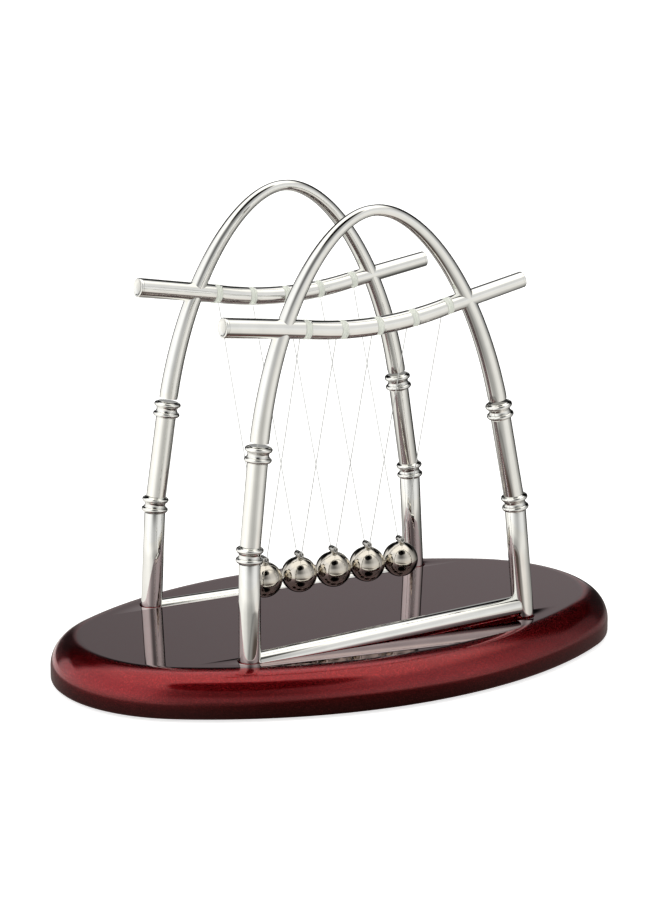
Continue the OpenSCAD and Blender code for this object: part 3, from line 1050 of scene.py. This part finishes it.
# The table close to the object
NEAR_TABLE = [
    (-180, 0.7), (-165, 0.4), (-145, 0.4), (-120, 0.75), (-105, 0.88), (-60, 0.95), (-36, 0.74),
    (-16, 0.38), (6, 0.34), (24, 0.46), (44, 0.85), (62, 0.80), (84, 0.52), (106, 0.30), (130, 0.10),
    (150, 0.06), (168, 0.4), (180, 0.7),
]
TABLE_RADIUS = 12


def direction(azimuth, elevation):
    """A direction given by its azimuth from the camera's, and its elevation, in degrees."""
    a, e = CAMERA_AZIMUTH + math.radians(azimuth), math.radians(elevation)
    return Vector((math.sin(a) * math.cos(e), -math.cos(a) * math.cos(e), math.sin(e)))


def around(nodes, vector, stops):
    """Brightness by compass direction."""
    ahead = nodes.dot(vector, direction(0, 0))
    aside = nodes.dot(vector, direction(90, 0))
    angle = nodes.math("ARCTAN2", aside, ahead)
    turn = nodes.math("ADD", nodes.math("DIVIDE", angle, 2 * math.pi), 0.5)
    return nodes.ramp(turn, [(degrees / 360 + 0.5, level) for degrees, level in stops])


def disc(name, z, finish):
    """A flat round table top for the studio."""
    sides = 96
    turns = [2 * math.pi * i / sides for i in range(sides)]
    rim = [(TABLE_RADIUS * math.cos(t), TABLE_RADIUS * math.sin(t), z) for t in turns]
    mesh = bpy.data.meshes.new(name)
    mesh.from_pydata(rim, [], [tuple(range(sides))])
    mesh.materials.append(finish)
    made = bpy.data.objects.new(name, mesh)
    bpy.context.scene.collection.objects.link(made)
    return made


def build_floor():
    """The plain pale floor that the camera sees. Reflections see the table card in its place."""
    made, nodes, shader = material("floor")
    mottle = nodes.noise(3, detail=2)
    colour = nodes.blend(mottle, grey(0.93), grey(0.95))
    nodes.put(shader, Base_Color=colour, Roughness=0.6, Emission_Color=grey(1), Emission_Strength=0.75)
    floor = disc("floor", 0, made)
    floor.visible_glossy = False
    floor.visible_diffuse = False


def table_light():
    """The studio table's light and dark parts, with the object's own dark contact shadow."""
    table = bpy.data.materials.new("table")
    table.use_nodes = True
    nodes = Nodes(table.node_tree)
    place = nodes.add("TexCoord").outputs["Object"]
    middle_of_table = (0, 0, 0)
    far = nodes.spread(nodes.distance(place, middle_of_table), 0, 1, 0.12, 0.45, smooth=True)
    level = nodes.blend(far, around(nodes, place, NEAR_TABLE), around(nodes, place, HORIZON))

    # The shadow is an oval a little wider than the board, and a round patch by its near edge
    from_edge = nodes.distance(place, (-0.03, -0.095, 0))
    past_edge = nodes.spread(from_edge, 0, 1, 0.03, 0.10, smooth=True)
    half_length, half_width = 0.148, 0.108
    squeezed = nodes.vector_math("MULTIPLY", place, (1 / half_length, 1 / half_width, 0)).outputs["Vector"]
    from_middle = nodes.distance(squeezed, middle_of_table)
    past_oval = nodes.spread(from_middle, 0.12, 1, 0.90, 1.08, smooth=True)
    clear = nodes.math("MULTIPLY", past_edge, past_oval)
    lit = nodes.math("MULTIPLY", level, clear)
    strength = nodes.math("MAXIMUM", lit, nodes.math("SUBTRACT", 1.0, clear))

    # The light is warmer in one patch in front of the board
    from_patch = nodes.distance(place, (0.07, -0.15, 0))
    past_patch = nodes.spread(from_patch, 0, 1, 0.03, 0.13, smooth=True)
    pale = nodes.blend(past_patch, rgb(1, 0.95, 0.90), rgb(1, 0.985, 0.95))
    colour = nodes.blend(clear, rgb(0.085, 0.065, 0.055), pale)
    light = nodes.put(nodes.add("Emission"), Color=colour, Strength=strength)
    output = nodes.add("OutputMaterial")
    nodes.join(light.outputs[0], output.inputs["Surface"])
    return table


def build_table_card():
    """Only reflections and soft light see it, just under the floor."""
    card = disc("table_reflection", -0.5 * MM, table_light())
    card.visible_camera = False
    card.visible_shadow = False


def build_world():
    """A pale studio. On the camera's side a lamp and its arm stand dark against the bright ceiling."""
    world = bpy.data.worlds.new("studio")
    bpy.context.scene.world = world
    world.use_nodes = True
    nodes = Nodes(world.node_tree)
    way = nodes.add("TexCoord").outputs["Generated"]
    elevation = nodes.math("MULTIPLY", nodes.math("ARCSINE", nodes.dot(way, UP)), 180 / math.pi)

    def by_elevation(low, high, start, stop):
        """Goes from low to high between two elevations in degrees."""
        return nodes.spread(elevation, low, high, start, stop, smooth=True)

    def dark_round(toward, level, outer, inner):
        """A dark round patch. Its edge starts at the angle with cosine outer and ends at inner."""
        return nodes.spread(nodes.dot(way, toward), 1, level, outer, inner, smooth=True)

    well_up = by_elevation(0, 1, 6, 22)
    walls = nodes.blend(well_up, around(nodes, way, HORIZON), around(nodes, way, WALLS))

    # The camera's side: walls, then the ceiling with the lamp and its arm
    ceiling = nodes.blend(by_elevation(0, 1, 36, 56), walls, rgb(1.3, 1.28, 1.22))
    lamp = dark_round(direction(6, 55), 0.01, 0.940, 0.968)
    arm = dark_round(direction(27, 56), 0.06, 0.945, 0.98)
    ahead = nodes.blend(nodes.math("MULTIPLY", lamp, arm), grey(0), ceiling)

    # The far side: a low wall, dark above it, and a bright ceiling
    low_wall = nodes.blend(by_elevation(1, 0.05, 19, 25), grey(0), walls)
    behind = nodes.add("Mix", data_type="RGBA", blend_type="ADD")
    behind.inputs[0].default_value = 1
    nodes.join(low_wall, behind.inputs[6])
    nodes.join(by_elevation(0, 1.4, 42, 60), behind.inputs[7])

    in_front = nodes.spread(nodes.dot(way, direction(0, 0)), 0, 1, -0.50, -0.30, smooth=True)
    background = nodes.add("Background")
    nodes.join(nodes.blend(in_front, behind.outputs[2], ahead), background.inputs["Color"])
    output = nodes.add("OutputWorld")
    nodes.join(background.outputs[0], output.inputs["Surface"])


build_floor()
build_table_card()
build_world()
bpy.context.scene.view_settings.view_transform = "Standard"
